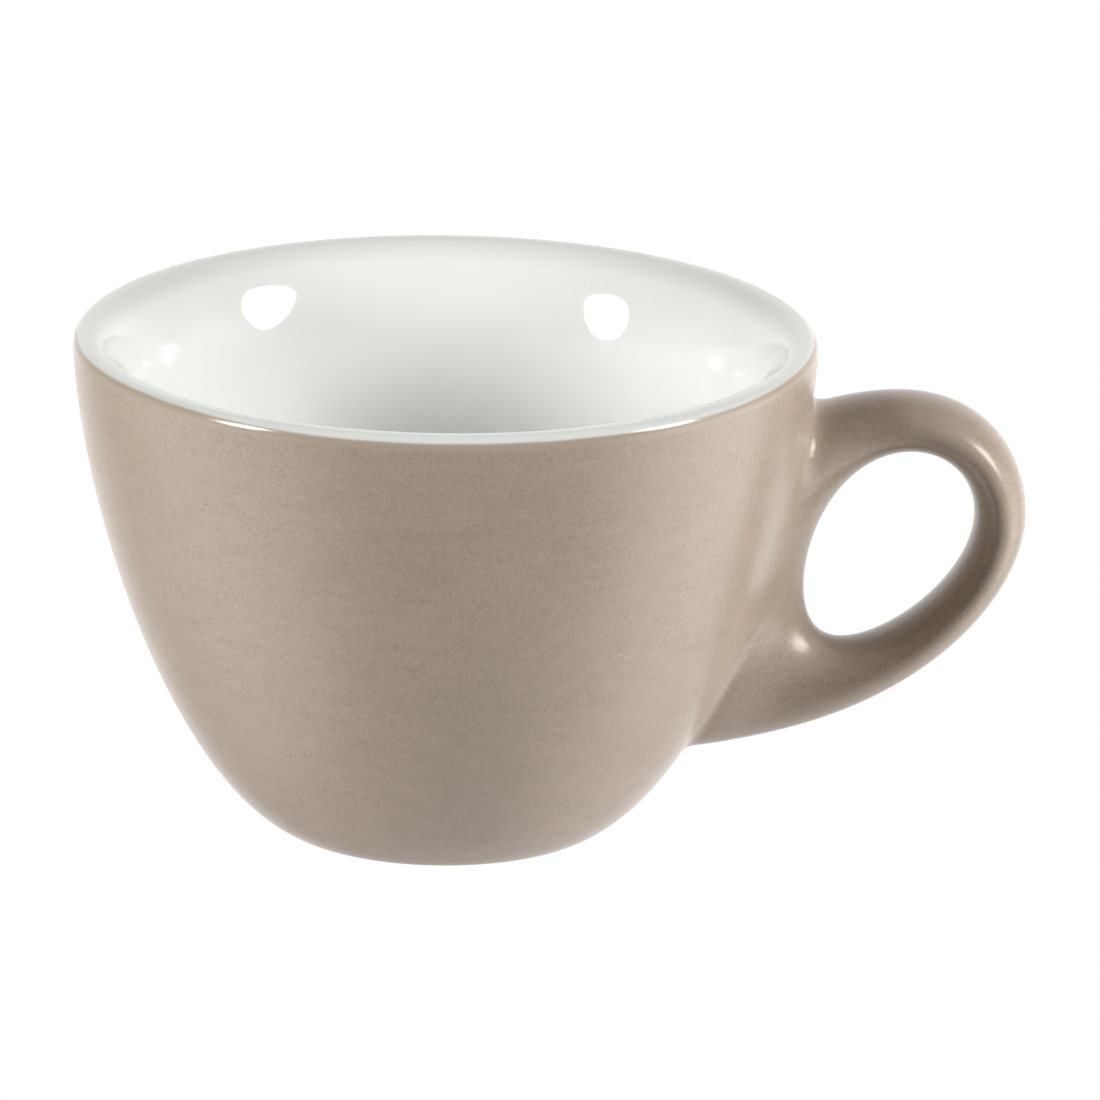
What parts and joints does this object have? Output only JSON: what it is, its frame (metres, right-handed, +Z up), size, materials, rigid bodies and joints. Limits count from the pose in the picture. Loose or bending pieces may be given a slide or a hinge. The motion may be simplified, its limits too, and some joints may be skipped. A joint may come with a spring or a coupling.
{
  "type": "espresso cup",
  "caption": "Small thick-walled espresso cup with a tapered round bowl, white gloss lining, taupe satin outside and a rounded loop handle.",
  "frame": {"origin": "bottom centre of the box around the whole cup, on the plane of the foot ring", "axes": "+Z up along the bowl's axis, +X from the bowl towards the handle"},
  "size_m": [0.09, 0.07, 0.0478],
  "materials": {
    "porcelain": "bare fired porcelain, fine and matt",
    "slip": "fired luting slip, matt",
    "white_glaze": "clear white gloss glaze",
    "taupe_glaze": "satin taupe glaze with a fine speckle"
  },
  "bodies": {
    "root": {"cup_body": "porcelain", "handle": "porcelain", "handle_slip": "slip", "inside_glaze": "white_glaze", "outside_glaze": "taupe_glaze", "handle_glaze": "taupe_glaze", "base_glaze": "taupe_glaze"}
  },
  "joints": []
}
